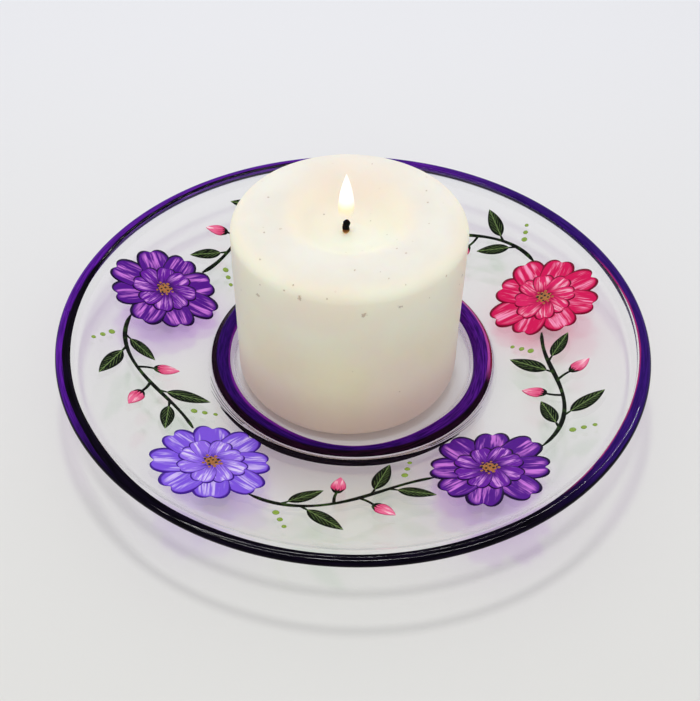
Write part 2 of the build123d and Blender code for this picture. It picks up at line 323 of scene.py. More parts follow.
def band(name, skin, first_at, last_at, material):
    """A coat on a turned skin, between two radii that change with the turn. Each point keeps its inset."""
    length = sum(hypot(b[0] - a[0], b[1] - a[1]) for a, b in zip(skin, skin[1:]))
    points, rings, insets = [], [], []
    for turn_step in range(turn_steps):
        turn = 2 * pi * turn_step / turn_steps
        first = distance_to(skin, first_at(turn))
        last = length - distance_to(skin[::-1], last_at(turn))
        upper, lower = [], []
        for step in range(band_steps + 1):
            inset = (last - first) * step / band_steps
            near_out = spot_along(skin, max(0, first + inset - lean_reach))[1]
            spot, out = spot_along(skin, first + inset)
            far_out = spot_along(skin, first + inset + lean_reach)[1]
            out = (near_out + out + far_out).normalized()
            full = min(1, edge_coat_share + min(step, band_steps - step) / edge_steps)
            upper.append((*(spot + out * (seat + coat * full)), inset))
            lower.append((*(spot - out * bite), inset))
        rings.append(list(range(len(points), len(points) + 2 * len(upper))))
        for r, z, inset in upper + lower[::-1]:
            points.append((r * cos(turn), r * sin(turn), z))
            insets.append(inset / mm)
    piece = new_piece(name, points, between(rings + rings[:1]), material)
    piece.data.attributes.new("inset", "FLOAT", "POINT").data.foreach_set("value", insets)
    return piece


def noise_node(tree, scale, detail=2, place=None):
    """A Noise texture, which follows the piece's own box unless it is given a place."""
    node = tree.nodes.new("ShaderNodeTexNoise")
    node.inputs["Scale"].default_value = scale
    node.inputs["Detail"].default_value = detail
    if place is not None:
        tree.links.new(place, node.inputs["Vector"])
    return node.outputs["Fac"]


def streaks_group():
    """Brush marks that run along a stroke: fine value streaks from two coordinates."""
    group = bpy.data.node_groups.new("brush_streaks", "ShaderNodeTree")
    for name in ("Along", "Across", "Seed", "Stretch", "Fineness"):
        group.interface.new_socket(name, in_out="INPUT", socket_type="NodeSocketFloat")
    group.interface.new_socket("Streak", in_out="OUTPUT", socket_type="NodeSocketFloat")
    enter = group.nodes.new("NodeGroupInput").outputs
    leave = group.nodes.new("NodeGroupOutput").inputs
    combine = group.nodes.new("ShaderNodeCombineXYZ")
    group.links.new(math_node(group, "MULTIPLY", enter["Along"], enter["Stretch"]), combine.inputs[0])
    group.links.new(math_node(group, "MULTIPLY", enter["Across"], enter["Fineness"]), combine.inputs[1])
    group.links.new(enter["Seed"], combine.inputs[2])
    group.links.new(noise_node(group, 1, 3, combine.outputs[0]), leave["Streak"])
    return group


brush_streaks = streaks_group()


def streaks(tree, along, across, seed, stretch, fineness):
    """The brush marks placed in a material, with its own coordinates and values."""
    node = tree.nodes.new("ShaderNodeGroup")
    node.node_tree = brush_streaks
    for value, socket in zip((along, across, seed, stretch, fineness), node.inputs):
        put(tree, value, socket)
    return node.outputs["Streak"]


def step_node(tree, value, low, high):
    """A smooth step from 0 at low to 1 at high."""
    node = tree.nodes.new("ShaderNodeMapRange")
    node.interpolation_type = "SMOOTHSTEP"
    node.inputs["From Min"].default_value = low
    node.inputs["From Max"].default_value = high
    tree.links.new(value, node.inputs["Value"])
    return node.outputs["Result"]


def opposite(tree, mask):
    """1 where a mask is 0, and 0 where it is 1."""
    return math_node(tree, "SUBTRACT", 1.0, mask)


def fade_node(tree, value, low, high):
    """A smooth fade from 1 at low to 0 at high."""
    return opposite(tree, step_node(tree, value, low, high))


def product(tree, value, *factors):
    """Masks or numbers multiplied together."""
    for factor in factors:
        value = math_node(tree, "MULTIPLY", value, factor)
    return value


def blend_node(tree, mask, first, second):
    """One colour where the mask is 0 and the other where it is 1."""
    node = tree.nodes.new("ShaderNodeMix")
    node.data_type = "RGBA"
    for value, index in ((mask, 0), (first, 6), (second, 7)):
        put(tree, value, node.inputs[index])
    return node.outputs[2]


def place_node(tree):
    """The place on the object, in metres."""
    return tree.nodes.new("ShaderNodeTexCoord").outputs["Object"]


def parts_of(tree, vector):
    """The three numbers that a vector holds."""
    split = tree.nodes.new("ShaderNodeSeparateXYZ")
    tree.links.new(vector, split.inputs[0])
    return list(split.outputs)


def plan_nodes(tree):
    """Distance from the plate's axis in millimetres, and turn about it in radians from the right."""
    x, y = parts_of(tree, place_node(tree))[:2]
    square = math_node(tree, "ADD", product(tree, x, x), product(tree, y, y))
    return product(tree, math_node(tree, "SQRT", square), 1 / mm), math_node(tree, "ARCTAN2", y, x)


def facing(tree, turn, side, low, high):
    """1 on the side of the plate at a turn in degrees, and 0 away from it. Low and high are cosines."""
    aside = math_node(tree, "SUBTRACT", turn, radians(side))
    return step_node(tree, math_node(tree, "COSINE", aside), low, high)


def attribute(tree, name):
    """A value kept at each point of the mesh."""
    node = tree.nodes.new("ShaderNodeAttribute")
    node.attribute_name = name
    return node.outputs["Fac"]


def feed(tree, socket, value):
    """Links a value that changes over the surface to the shader."""
    tree.links.new(value, tree.nodes["Principled BSDF"].inputs[socket])


def relief(tree, height, depth):
    """Raises the surface by up to a depth, as light shows it."""
    bump = tree.nodes.new("ShaderNodeBump")
    bump.inputs["Strength"].default_value = 1
    bump.inputs["Distance"].default_value = depth
    tree.links.new(height, bump.inputs["Height"])
    feed(tree, "Normal", bump.outputs[0])


def srgb(red, green, blue):
    """A colour as read off a screen, 0 to 255, as the shader's linear values."""
    parts = []
    for value in (red, green, blue):
        share = value / 255
        parts.append(share / 12.92 if share <= 0.04045 else ((share + 0.055) / 1.055) ** 2.4)
    return (*parts, 1)


def band_nodes(tree, seed, stretch, fineness):
    """What a band's paint goes by: distance, turn, brush marks, where they are loaded, and a rough inset."""
    distance, turn = plan_nodes(tree)
    inset = attribute(tree, "inset")
    brushed = streaks(tree, turn, inset, seed, stretch, fineness)
    loaded = step_node(tree, brushed, 0.35, 0.65)
    return distance, turn, brushed, loaded, math_node(tree, "MULTIPLY_ADD", brushed, 0.6, inset)


enamel_gloss = {"IOR": 1.12, "Specular IOR Level": 0.3}
rim_paint, tree = new_material("rim_violet_paint", {"Roughness": 0.08, **enamel_gloss})
distance, turn, brushed, loaded, rough_inset = band_nodes(tree, 0.0, 9.0, 2.6)
rough_distance = math_node(tree, "MULTIPLY_ADD", brushed, 0.9, distance)
# Painted light and shade: lighter violet towards the back left; near-black painted shade at the front, in a
# stripe inside along the left and in a line round the outer edge.
indigo = blend_node(tree, loaded, srgb(34, 12, 82), srgb(56, 22, 114))
violet = blend_node(tree, loaded, srgb(60, 12, 114), srgb(98, 28, 160))
painted_shade_black = blend_node(tree, loaded, srgb(2, 1, 5), srgb(13, 6, 24))
painted = blend_node(tree, facing(tree, turn, painted_light_turn, -0.1, 0.7), indigo, violet)
stripe_width = math_node(tree, "MULTIPLY_ADD", facing(tree, turn, widest_turn, 0.5, 1.0), 1.9, 1.1)
past_stripe = math_node(tree, "SUBTRACT", rough_inset, stripe_width)
painted_shade_stripe = product(tree, fade_node(tree, past_stripe, 0.0, 0.6), facing(tree, turn, stripe_turn, 0.1, 0.5))
painted_shade_line = step_node(tree, rough_distance, rim_outside, rim_outside + 0.4)
front = facing(tree, turn, front_turn, 0.5, 0.8)
# Painted shade: near-black over the stripe, the outer line and the front.
thick = math_node(tree, "MAXIMUM", math_node(tree, "MAXIMUM", painted_shade_stripe, painted_shade_line), front)
painted = blend_node(tree, thick, painted, painted_shade_black)
broken = step_node(tree, streaks(tree, turn, distance, 3.0, 12.0, 0.5), 0.30, 0.44)
pink_side = facing(tree, turn, pink_turn, 0.78, 0.88)
pink_line = product(tree, fade_node(tree, rough_inset, 0.6, 0.95), broken, pink_side)
feed(tree, "Base Color", blend_node(tree, pink_line, painted, srgb(168, 44, 112)))
relief(tree, brushed, 0.02 * mm)
shade_through(tree, blend_node(tree, front, shadow_tint, front_shadow_tint))

rim_skin = [(rim_inner, brim_height(rim_inner))] + bead_outline()
rim_skin += [(rim_inner, brim_height(rim_inner) - upright_thickness)]
rim = band("painted_rim", rim_skin, lambda turn: round_plate(rim_edges, turn) * mm, lambda turn: rim_under,
           rim_paint)
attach(rim, "plate")
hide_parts("rim_band")


# Painted ring
# The same paint, brushed over the ridge that keeps the candle in its well: violet on the crest, brighter
# inside at the left, near-black where it runs down outside, and crimson there at the right. In front, a dark
# stroke on the brim is painted shade, in place of the ring's dark image seen through the glass; a bare line
# of glass lies between, and the stroke runs out in fine hairs.
ring_inner = 41.6 * mm
ring_outer = 49.6 * mm
ring_inner_edges = (42.2, 42.4, 42.6, 42.8, 42.9, 44.0, 45.9, 44.0)
ring_outer_edges = (48.7, 48.9, 49.2, 49.4, 49.4, 49.3, 49.2, 49.3)
magenta_from = 47.2
maroon_from = 47.5
crimson_from = 48.1
crimson_turn = 50
bright_turn = 180
shade_radius = 52.4 * mm
shade_width = 3.6 * mm
shade_height = 0.17 * mm
shade_first = 214
shade_last = 312
hair_radius = 50.3 * mm
hair_step = 0.75 * mm
hair_drift = 0.3 * mm
hair_height = 0.1 * mm
hair_reach = 17
hair_stagger = 4
hair_overlap = 12
thin_line = 0.3 * mm

ring_paint, tree = new_material("ring_violet_paint", {"Roughness": 0.2, **enamel_gloss})
distance, turn, brushed, loaded, rough_inset = band_nodes(tree, 5.0, 7.0, 2.4)
rough_distance = math_node(tree, "MULTIPLY_ADD", brushed, 0.6, distance)
left_violet = blend_node(tree, loaded, srgb(30, 6, 72), srgb(52, 12, 104))
right_violet = blend_node(tree, loaded, srgb(44, 8, 84), srgb(82, 24, 134))
maroon = blend_node(tree, loaded, srgb(8, 2, 9), srgb(34, 7, 28))
right_side = facing(tree, turn, crimson_turn, 0.36, 0.56)
painted = blend_node(tree, facing(tree, turn, 0, 0.0, 0.7), left_violet, right_violet)
bright = product(tree, fade_node(tree, rough_inset, 1.0, 1.7), facing(tree, turn, bright_turn, 0.1, 0.8))
painted = blend_node(tree, bright, painted, srgb(116, 36, 150))
hairline = product(tree, fade_node(tree, rough_inset, 0.4, 0.75), opposite(tree, right_side))
painted = blend_node(tree, hairline, painted, srgb(150, 84, 166))
painted = blend_node(tree, step_node(tree, rough_distance, maroon_from, maroon_from + 0.6), painted, maroon)
magenta = product(tree, step_node(tree, rough_distance, magenta_from, magenta_from + 0.3), right_side)
painted = blend_node(tree, magenta, painted, srgb(176, 70, 152))
crimson = product(tree, step_node(tree, rough_distance, crimson_from, crimson_from + 0.3), right_side)
feed(tree, "Base Color", blend_node(tree, crimson, painted, srgb(116, 12, 44)))
relief(tree, brushed, 0.06 * mm)
shade_through(tree, (0.66, 0.58, 0.74, 1))

ring_skin = [(ring_inner, floor_top)]
ring_skin += [(r, z) for r, z in upper_face if ring_inner < r < ring_outer]
ring_skin += [(ring_outer, brim_height(ring_outer))]
ring = band("painted_ring", ring_skin, lambda turn: round_plate(ring_inner_edges, turn) * mm,
            lambda turn: round_plate(ring_outer_edges, turn) * mm, ring_paint)
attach(ring, "plate")
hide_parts("ring_band")


def brush_line(points, faces, path, width_at, thickness):
    """Adds a round-topped stroke along a path on the brim to the points and faces of a piece."""
    start = len(points)
    sides = 8
    wide = sides + 1
    last = len(path) - 1
    for index, spot in enumerate(path):
        run = path[min(index + 1, last)] - path[max(index - 1, 0)]
        across = Vector((-run.y, run.x)).normalized()
        half = width_at(index / last) / 2
        for side in range(wide):
            angle = pi * side / sides
            flat = spot + across * half * cos(angle)
            rise = thickness * sin(angle) * min(1, half / thin_line)
            points.append((flat.x, flat.y, brim_height(flat.length) + seat + rise))
    for row in range(last):
        a = start + row * wide
        for side in range(sides):
            faces.append((a + side, a + side + wide, a + side + wide + 1, a + side + 1))
        faces.append((a, a + sides, a + wide + sides, a + wide))
    faces.append([start + side for side in range(wide)])
    faces.append([start + last * wide + side for side in range(sides, -1, -1)])


def ring_arc(radius_at, first, last, steps=60):
    """Points round the plate's middle, from one turn in degrees to another."""
    points = []
    for step in range(steps + 1):
        turn = radians(first + (last - first) * step / steps)
        points.append(Vector((cos(turn), sin(turn))) * radius_at(step / steps))
    return points


def shade_taper(share):
    """The dark stroke's width, which tapers at both ends."""
    return shade_width * (0.06 + 0.94 * min(1, 3.2 * min(share, 1 - share)))


# The dark stroke and its hairs are painted shade, in place of the ring's dark image seen through the glass.
shade_paint, tree = new_material("ring_shade_paint", {"Roughness": 0.25, **enamel_gloss})
distance, turn = plan_nodes(tree)
brushed = streaks(tree, turn, distance, 9.0, 9.0, 3.0)
loaded = step_node(tree, brushed, 0.4, 0.7)
feed(tree, "Base Color", blend_node(tree, loaded, srgb(6, 4, 9), srgb(34, 24, 38)))
relief(tree, brushed, 0.05 * mm)
shade_through(tree, (0.66, 0.58, 0.70, 1))

points, faces = [], []
path = ring_arc(lambda share: shade_radius, shade_first, shade_last)
brush_line(points, faces, path, shade_taper, shade_height)
for side, end in ((-1, shade_first), (1, shade_last)):
    for hair in range(3):
        path = ring_arc(lambda share: hair_radius + hair_step * hair + hair_drift * (1 - share),
                        end + side * (hair_reach - hair_stagger * hair), end - side * hair_overlap, 30)
        brush_line(points, faces, path, lambda share: (0.1 + 0.22 * share) * mm, hair_height)
ring_shade = new_piece("ring_shade_stroke", points, faces, shade_paint)
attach(ring_shade, "plate")


# Blossoms
# Five round-petalled flowers in glass paint, each a ring of broad notched petals, a shorter ring on top and a
# golden centre with dark dots. The petals lie one over the next, so each is a little higher on one side.
blossom_kinds = ("pink", "lilac", "violet", "lilac", "violet")
blossom_reach = 0.425 * brim_width
petal_width = 0.546 * blossom_reach
petal_length_shares = (1.0, 0.94, 0.98, 0.92, 1.0, 0.95, 0.93, 0.97)
petal_pitch = 360 / len(petal_length_shares)
petal_rings = (("outer_petals", 1.0, 1.12, 0, seat), ("inner_petals", 0.58, 0.70, 22.5, seat + 0.17 * mm))
dry_tip = 0.062 * blossom_reach
dry_edge = 0.04 * mm
golden_turn = 2.4
gold_dabs = 16
gold_height = 0.42 * mm
gold_middle_height = 0.32 * mm
gold_lift = seat + 0.1 * mm
dot_count = 7
dot_height = 0.26 * mm
dot_lift = seat + 0.34 * mm
draw = Random(11)


def bezier(points, share):
    """A point on the curve through the first and last of four points, drawn to the two between."""
    a, b, c, d = [Vector(point) for point in points]
    back = 1 - share
    return a * back ** 3 + 3 * b * back * back * share + 3 * c * back * share * share + d * share ** 3


def petal_half(length, width, notch):
    """Half of a petal's outline, from its root to the dip in its tip."""
    root = (0.06 * length, 0.19 * width)
    side = [root, (0.30 * length, 0.42 * width), (0.52 * length, 0.50 * width), (0.70 * length, 0.50 * width)]
    shoulder = [side[-1], (0.90 * length, 0.50 * width), (length, 0.36 * width), (length, 0.20 * width)]
    dip = [shoulder[-1], (length, 0.08 * width), (length - notch, 0.04 * width), (length - notch, 0)]
    points = []
    for curve, steps in ((side, 9), (shoulder, 8), (dip, 5)):
        points += [bezier(curve, step / steps) for step in range(steps)]
    points.append(Vector(dip[-1]))
    return points


def blade(half, near_spine, far_spine, across_steps):
    """Rows of (x, y, edge) over a blade with mirrored halves; edge is 0 along its middle and 1 at its rim."""
    rows = []
    last = len(half) - 1
    for index, rim_point in enumerate(half):
        spine = near_spine + (far_spine - near_spine) * index / last
        row = []
        for step in range(-across_steps, across_steps + 1):
            edge = abs(step) / across_steps
            side = 1 if step >= 0 else -1
            row.append((spine + (rim_point.x - spine) * edge, side * rim_point.y * edge, edge))
        rows.append(row)
    return rows


def seated(name, sheets, place, lift, material):
    """Closed shells laid on the sloping brim. Each sheet is (rows, thickness function, seed, own place)."""
    points, faces, edges, seeds, uvs = [], [], [], [], []
    for rows, thickness, seed, spot in sheets:
        start = len(points)
        wide = len(rows[0])
        total = wide * len(rows)
        length = max(x for row in rows for x, y, edge in row)
        width = max(y for row in rows for x, y, edge in row)
        for face_side in ("under", "upper"):
            for row_index, row in enumerate(rows):
                ends = row_index in (0, len(rows) - 1)
                for x, y, edge in row:
                    flat = place @ spot @ Vector((x, y, 0))
                    rise = thickness(x / length, y / width, edge, ends) if face_side == "upper" else 0
                    points.append((flat.x, flat.y, brim_height(hypot(flat.x, flat.y)) + lift + rise))
                    edges.append(edge)
                    seeds.append(seed)
                    uvs.append((x / length, y / width * 0.5 + 0.5))
        for row in range(len(rows) - 1):
            for column in range(wide - 1):
                a = start + row * wide + column
                b, c, d = a + 1, a + wide + 1, a + wide
                faces.append((a, b, c, d))
                faces.append((a + total, d + total, c + total, b + total))
        rim_loop = [start + column for column in range(wide)]
        rim_loop += [start + row * wide + wide - 1 for row in range(1, len(rows))]
        rim_loop += [start + total - wide + column for column in range(wide - 2, -1, -1)]
        rim_loop += [start + row * wide for row in range(len(rows) - 2, 0, -1)]
        for index, a in enumerate(rim_loop):
            b = rim_loop[(index + 1) % len(rim_loop)]
            faces.append((a, a + total, b + total, b))
    piece = new_piece(name, points, faces, material)
    mesh = piece.data
    for label, values in (("edge", edges), ("seed", seeds)):
        mesh.attributes.new(label, "FLOAT", "POINT").data.foreach_set("value", values)
    stroke = mesh.uv_layers.new(name="stroke")
    for loop in mesh.loops:
        stroke.data[loop.index].uv = uvs[loop.vertex_index]
    return piece


def petal_thickness(u, v, edge, ends):
    """A brushed coat: thin at its edge, with soft ridges along it and one side a little proud."""
    if edge >= 1 or ends:
        return dry_edge
    ridges = 0.02 * sin(9 * v + 2 * u) + 0.015 * sin(23 * v)
    return (0.13 + 0.06 * v + ridges - 0.05 * edge ** 4) * mm


def stroke_nodes(tree):
    """How far along and across its blade a place is, its closeness to the edge, and the blade's own seed."""
    uv = tree.nodes.new("ShaderNodeUVMap")
    uv.uv_map = "stroke"
    along, across = parts_of(tree, uv.outputs[0])[:2]
    return along, across, attribute(tree, "edge"), attribute(tree, "seed")


def petal_material(name, deep, body, light, outline, tint):
    """Glass paint on a petal: dark outline, body colour, and pale brush marks towards the tip."""
    material, tree = new_material(name, {"Roughness": 0.32, "IOR": 1.2})
    along, across, edge, seed = stroke_nodes(tree)
    fine = streaks(tree, along, across, seed, 2.2, 17.0)
    wide = streaks(tree, along, across, math_node(tree, "ADD", seed, 31.0), 1.4, 5.0)
    colour = blend_node(tree, step_node(tree, along, 0.12, 0.62), srgb(*deep), srgb(*body))
    colour = blend_node(tree, step_node(tree, fine, 0.42, 0.62), colour, srgb(*body))
    both = math_node(tree, "MULTIPLY_ADD", fine, 0.55, product(tree, wide, 0.75))
    tip = step_node(tree, along, 0.28, 0.72)
    gleam = product(tree, tip, fade_node(tree, edge, 0.55, 0.86), step_node(tree, both, 0.62, 0.78))
    colour = blend_node(tree, gleam, colour, srgb(*light))
    rough_edge = math_node(tree, "MULTIPLY_ADD", wide, 0.16, edge)
    feed(tree, "Base Color", blend_node(tree, step_node(tree, rough_edge, 0.92, 1.0), colour, srgb(*outline)))
    relief(tree, fine, 0.04 * mm)
    shade_through(tree, (*tint, 1))
    return material


petal_paints = {
    "pink": (petal_material("pink_petal_paint", (140, 2, 46), (208, 14, 84), (246, 150, 190), (120, 0, 40),
                            (0.97, 0.66, 0.76)),
             petal_material("rose_petal_paint", (124, 2, 44), (216, 32, 98), (250, 184, 208), (110, 0, 36),
                            (0.97, 0.70, 0.79))),
    "lilac": (petal_material("lilac_petal_paint", (78, 40, 176), (122, 80, 220), (206, 186, 246),
                             (62, 24, 140), (0.86, 0.74, 0.98)),
              petal_material("pale_lilac_petal_paint", (70, 34, 160), (142, 102, 230), (222, 206, 250),
                             (56, 20, 132), (0.88, 0.78, 0.98))),
    "violet": (petal_material("violet_petal_paint", (34, 3, 74), (80, 12, 136), (204, 118, 220), (24, 1, 52),
                              (0.80, 0.56, 0.92)),
               petal_material("orchid_petal_paint", (30, 3, 68), (100, 22, 154), (220, 148, 232), (20, 1, 48),
                              (0.84, 0.62, 0.93))),
}

centre_paint, tree = new_material("golden_centre_paint", {"Roughness": 0.4})
mottle = noise_node(tree, 900)
feed(tree, "Base Color",
     blend_node(tree, step_node(tree, mottle, 0.38, 0.62), srgb(120, 62, 24), srgb(206, 136, 62)))
relief(tree, mottle, 0.08 * mm)
dark_dot_paint = new_material("dark_dot_paint", {"Base Color": srgb(18, 8, 14), "Roughness": 0.3})[0]


def domes(name, spots, lift, material):
    """Small round dabs: each spot is (x, y, radius, height) on the plate's plan."""
    points, faces = [], []
    around, levels = 14, 4
    for x, y, size, rise in spots:
        rings = []
        for level in range(levels):
            tilt = pi / 2 * level / levels
            rings.append(list(range(len(points), len(points) + around)))
            for step in range(around):
                angle = 2 * pi * step / around
                px = x + size * cos(tilt) * cos(angle)
                py = y + size * cos(tilt) * sin(angle)
                points.append((px, py, brim_height(hypot(px, py)) + lift + rise * sin(tilt)))
        rings.append([len(points)] * around)
        points.append((x, y, brim_height(hypot(x, y)) + lift + rise))
        faces += between(rings)
        faces.append(rings[0][::-1])
    return new_piece(name, points, faces, material)


blossom_spots = []
for number, kind in enumerate(blossom_kinds):
    label = f"blossom_{number + 1}_"
    low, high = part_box(label + "centre")
    spot = (low + high) / 2
    centre_radius = (high.x - low.x) / 2
    blossom_spots.append(Vector((spot.x, spot.y)))
    place = Matrix.Translation((spot.x, spot.y, 0)) @ Matrix.Rotation(atan2(spot.y, spot.x), 4, "Z")
    for layer, (ring_name, length_share, width_share, turn_by, lift) in enumerate(petal_rings):
        sheets = []
        for index, share in enumerate(petal_length_shares):
            length = blossom_reach * length_share * share * draw.uniform(0.97, 1.0)
            width = petal_width * width_share * draw.uniform(0.94, 1.04)
            half = petal_half(length, width, dry_tip * length_share * draw.uniform(0.6, 1.2))
            angle = radians(turn_by + index * petal_pitch + draw.uniform(-3, 3))
            sheets.append((blade(half, half[0].x, half[-1].x, 7), petal_thickness,
                           number * 20 + index * 2.3 + layer * 7.7, Matrix.Rotation(angle, 4, "Z")))
        petals = seated(label + "painted_" + ring_name, sheets, place, lift, petal_paints[kind][layer])
        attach(petals, "plate")
        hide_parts(label + ring_name)
    gold = [(spot.x, spot.y, centre_radius * 0.80, gold_middle_height)]
    for index in range(gold_dabs):
        angle = index * golden_turn
        away = centre_radius * 0.86 * sqrt((index + 1) / gold_dabs)
        gold.append((spot.x + away * cos(angle), spot.y + away * sin(angle), draw.uniform(0.5, 0.8) * mm,
                     gold_height - 0.1 * mm * index / gold_dabs))
    centre = domes(label + "golden_centre", gold, gold_lift, centre_paint)
    dots = []
    for index in range(dot_count):
        angle = index * golden_turn + 1.1
        away = centre_radius * 0.66 * sqrt((index + 0.4) / dot_count)
        dots.append((spot.x + away * cos(angle), spot.y + away * sin(angle), draw.uniform(0.34, 0.5) * mm,
                     dot_height))
    dark_dots = domes(label + "dark_dots", dots, dot_lift, dark_dot_paint)
    for piece in (centre, dark_dots):
        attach(piece, "plate")
    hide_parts(label + "centre")


# Vine
# A thin dark green stroke that waves from blossom to blossom, with side stalks for leaves and buds. It is a
# single pull of the brush, round on top, with a lighter green streak where the paint is thin.
garland_radius = blossom_spots[0].length
first_angle = atan2(blossom_spots[0].y, blossom_spots[0].x)
pitch = 2 * pi / len(blossom_spots)
wave = 0.14 * brim_width
vine_width = 1.5 * mm
vine_height = 0.2 * mm
vine_first = 0.185
vine_run = 0.63
vine_steps = 48
stalk_width = 1.0 * mm
stalk_height = 0.16 * mm
stalk_bend = 0.35 * mm
leaf_spots = ((0.29, 1, 0.86), (0.35, -1, 1.0), (0.575, 1, 1.0), (0.64, -1, 0.84))
leaf_lean = 42
leaf_stalk = 2.4 * mm
bud_spots = ((0.45, 1), (0.53, -1))
bud_lean = 64
bud_length = 7.6 * mm
bud_stalk = 0.8 * bud_length
cup_height = 0.42 * mm
cup_length = 2.6 * mm
cup_overlap = 0.4 * mm
cup_spread = 2.3 * mm
cup_tip = 0.1 * mm


def vine_point(number, share):
    """A place on the vine, by the share of the way from one blossom to the next."""
    angle = first_angle + (number + share) * pitch
    radius = garland_radius + wave * sin(2 * pi * share)
    return Vector((radius * cos(angle), radius * sin(angle)))


def beside_vine(number, share, side, lean):
    """A place on the vine's middle line, with +X leaning away from the vine."""
    run = vine_point(number, share + 0.01) - vine_point(number, share - 0.01)
    spot = vine_point(number, share)
    heading = atan2(run.y, run.x) + side * radians(lean)
    return Matrix.Translation((spot.x, spot.y, 0)) @ Matrix.Rotation(heading, 4, "Z")


def on_plan(matrix, x, y):
    """A point given from a place on the plan, as a point on the plate's plan."""
    return (matrix @ Vector((x, y, 0))).to_2d()


vine_paint, tree = new_material("vine_green_paint", {"Roughness": 0.3, "IOR": 1.15})
grain = noise_node(tree, 420, 3, place_node(tree))
thin_paint = step_node(tree, grain, 0.48, 0.66)
feed(tree, "Base Color", blend_node(tree, thin_paint, srgb(7, 12, 7), srgb(40, 62, 26)))
relief(tree, grain, 0.04 * mm)
shade_through(tree, (0.72, 0.84, 0.70, 1))


def vine_taper(share, wobble):
    """The vine's width, which swells and thins along it and tapers at both ends."""
    swell = 0.78 + 0.26 * sin(7 * share + wobble) ** 2
    return vine_width * swell * min(1, 12 * share + 0.4, 12 * (1 - share) + 0.4)


for number in range(len(blossom_spots)):
    points, faces = [], []
    wobble = draw.uniform(0, 6)
    path = [vine_point(number, vine_first + vine_run * step / vine_steps) for step in range(vine_steps + 1)]
    brush_line(points, faces, path, lambda share: vine_taper(share, wobble), vine_height)
    for share, side, _ in leaf_spots:
        stem = beside_vine(number, share, side, leaf_lean)
        path = [on_plan(stem, leaf_stalk * 1.15 * step / 6, 0) for step in range(7)]
        brush_line(points, faces, path, lambda share: stalk_width * (1.15 - 0.5 * share), stalk_height)
    for share, side in bud_spots:
        stem = beside_vine(number, share, side, bud_lean)
        path = [on_plan(stem, bud_stalk * step / 8, stalk_bend * sin(pi * step / 8)) for step in range(9)]
        brush_line(points, faces, path, lambda share: stalk_width * (1.1 - 0.25 * share), stalk_height)
        for spread in (-0.9, -0.3, 0.3, 0.9):
            path = [on_plan(stem, bud_stalk - cup_overlap + cup_length * step / 8 * cos(spread * 0.7),
                            spread * cup_spread * sqrt(step / 8)) for step in range(9)]
            brush_line(points, faces, path, lambda share: stalk_width * (1.02 - share) + cup_tip, cup_height)
    vine = new_piece(f"vine_stroke_{number + 1}", points, faces, vine_paint)
    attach(vine, "plate")
    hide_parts(f"vine_{number + 1}")


# Leaves
# Pointed oval leaves in near-black green paint, four to each stretch of vine. Pale green veins are scratched
# and brushed over them, and their edge is a little lighter.
leaf_length = 14.5 * mm
leaf_width = 6.6 * mm
leaf_gap = 0.15 * mm
vein_pairs = 7.0

leaf_paint, tree = new_material("leaf_green_paint", {"Roughness": 0.34, "IOR": 1.15})
along, across, edge, seed = stroke_nodes(tree)
fine = streaks(tree, along, across, seed, 5.0, 9.0)
from_midrib = math_node(tree, "ABSOLUTE", math_node(tree, "SUBTRACT", across, 0.5))
slant = math_node(tree, "MULTIPLY_ADD", from_midrib, -0.85, along)
slant = math_node(tree, "MULTIPLY_ADD", fine, 0.05, slant)
place_in_pair = math_node(tree, "FRACT", product(tree, slant, vein_pairs))
from_vein = math_node(tree, "ABSOLUTE", math_node(tree, "SUBTRACT", place_in_pair, 0.5))
vein = product(tree, fade_node(tree, from_vein, 0.02, 0.11), fade_node(tree, edge, 0.62, 0.85),
               step_node(tree, fine, 0.36, 0.5))
pale = math_node(tree, "MAXIMUM", vein, fade_node(tree, from_midrib, 0.008, 0.034))
colour = blend_node(tree, step_node(tree, fine, 0.4, 0.7), srgb(4, 9, 5), srgb(14, 25, 12))
colour = blend_node(tree, pale, colour, srgb(122, 150, 88))
border = step_node(tree, math_node(tree, "MULTIPLY_ADD", fine, 0.14, edge), 1.01, 1.08)
feed(tree, "Base Color", blend_node(tree, border, colour, srgb(44, 66, 26)))
relief(tree, pale, 0.03 * mm)
shade_through(tree, (0.70, 0.84, 0.70, 1))


def leaf_half(length, width):
    """Half of a leaf's outline, from its stalk to its point."""
    curve = [(0, 0), (0.20 * length, 0.61 * width), (0.64 * length, 0.50 * width), (length, 0)]
    return [bezier(curve, step / 18) for step in range(19)]


def leaf_thickness(u, v, edge, ends):
    """A coat that thins to its edge and is scratched down along its midrib."""
    if edge >= 1 or ends:
        return dry_edge
    return (0.15 - 0.06 * edge ** 3 - 0.05 * exp(-(v / 0.12) ** 2)) * mm


for number in range(len(blossom_spots)):
    sheets = []
    for index, (share, side, size) in enumerate(leaf_spots):
        stem = beside_vine(number, share, side, leaf_lean) @ Matrix.Translation((leaf_stalk + leaf_gap, 0, 0))
        length = leaf_length * size * draw.uniform(0.96, 1.0)
        half = leaf_half(length, leaf_width * size * draw.uniform(0.94, 1.03))
        sheets.append((blade(half, 0, half[-1].x, 6), leaf_thickness, 50 + number * 9 + index * 2.1, stem))
    leaves = seated(f"leaf_blades_{number + 1}", sheets, Matrix.Identity(4), seat, leaf_paint)
    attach(leaves, "plate")
    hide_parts(f"leaves_{number + 1}")


# Buds and berries
# Closed pink buds in green cups at the ends of the stalks, and short rows of round light green dots. Each is
# one thick dab that dried in a dome.
bud_width = 5.2 * mm
berry_spots = ((0.27, -1), (0.70, 1))
berry_lean = 52
berry_size = 1.09 * mm
berry_height = 0.3 * mm
berry_step = 3.42 * mm
berry_size_shares = (1.0, 0.85, 0.70)


def bud_thickness(u, v, edge, ends):
    """A thick dab, domed across, with the folds of the closed petals along it."""
    if edge >= 1 or ends:
        return 0.05 * mm
    return (0.33 - 0.24 * edge ** 3 + 0.03 * sin(14 * v)) * mm


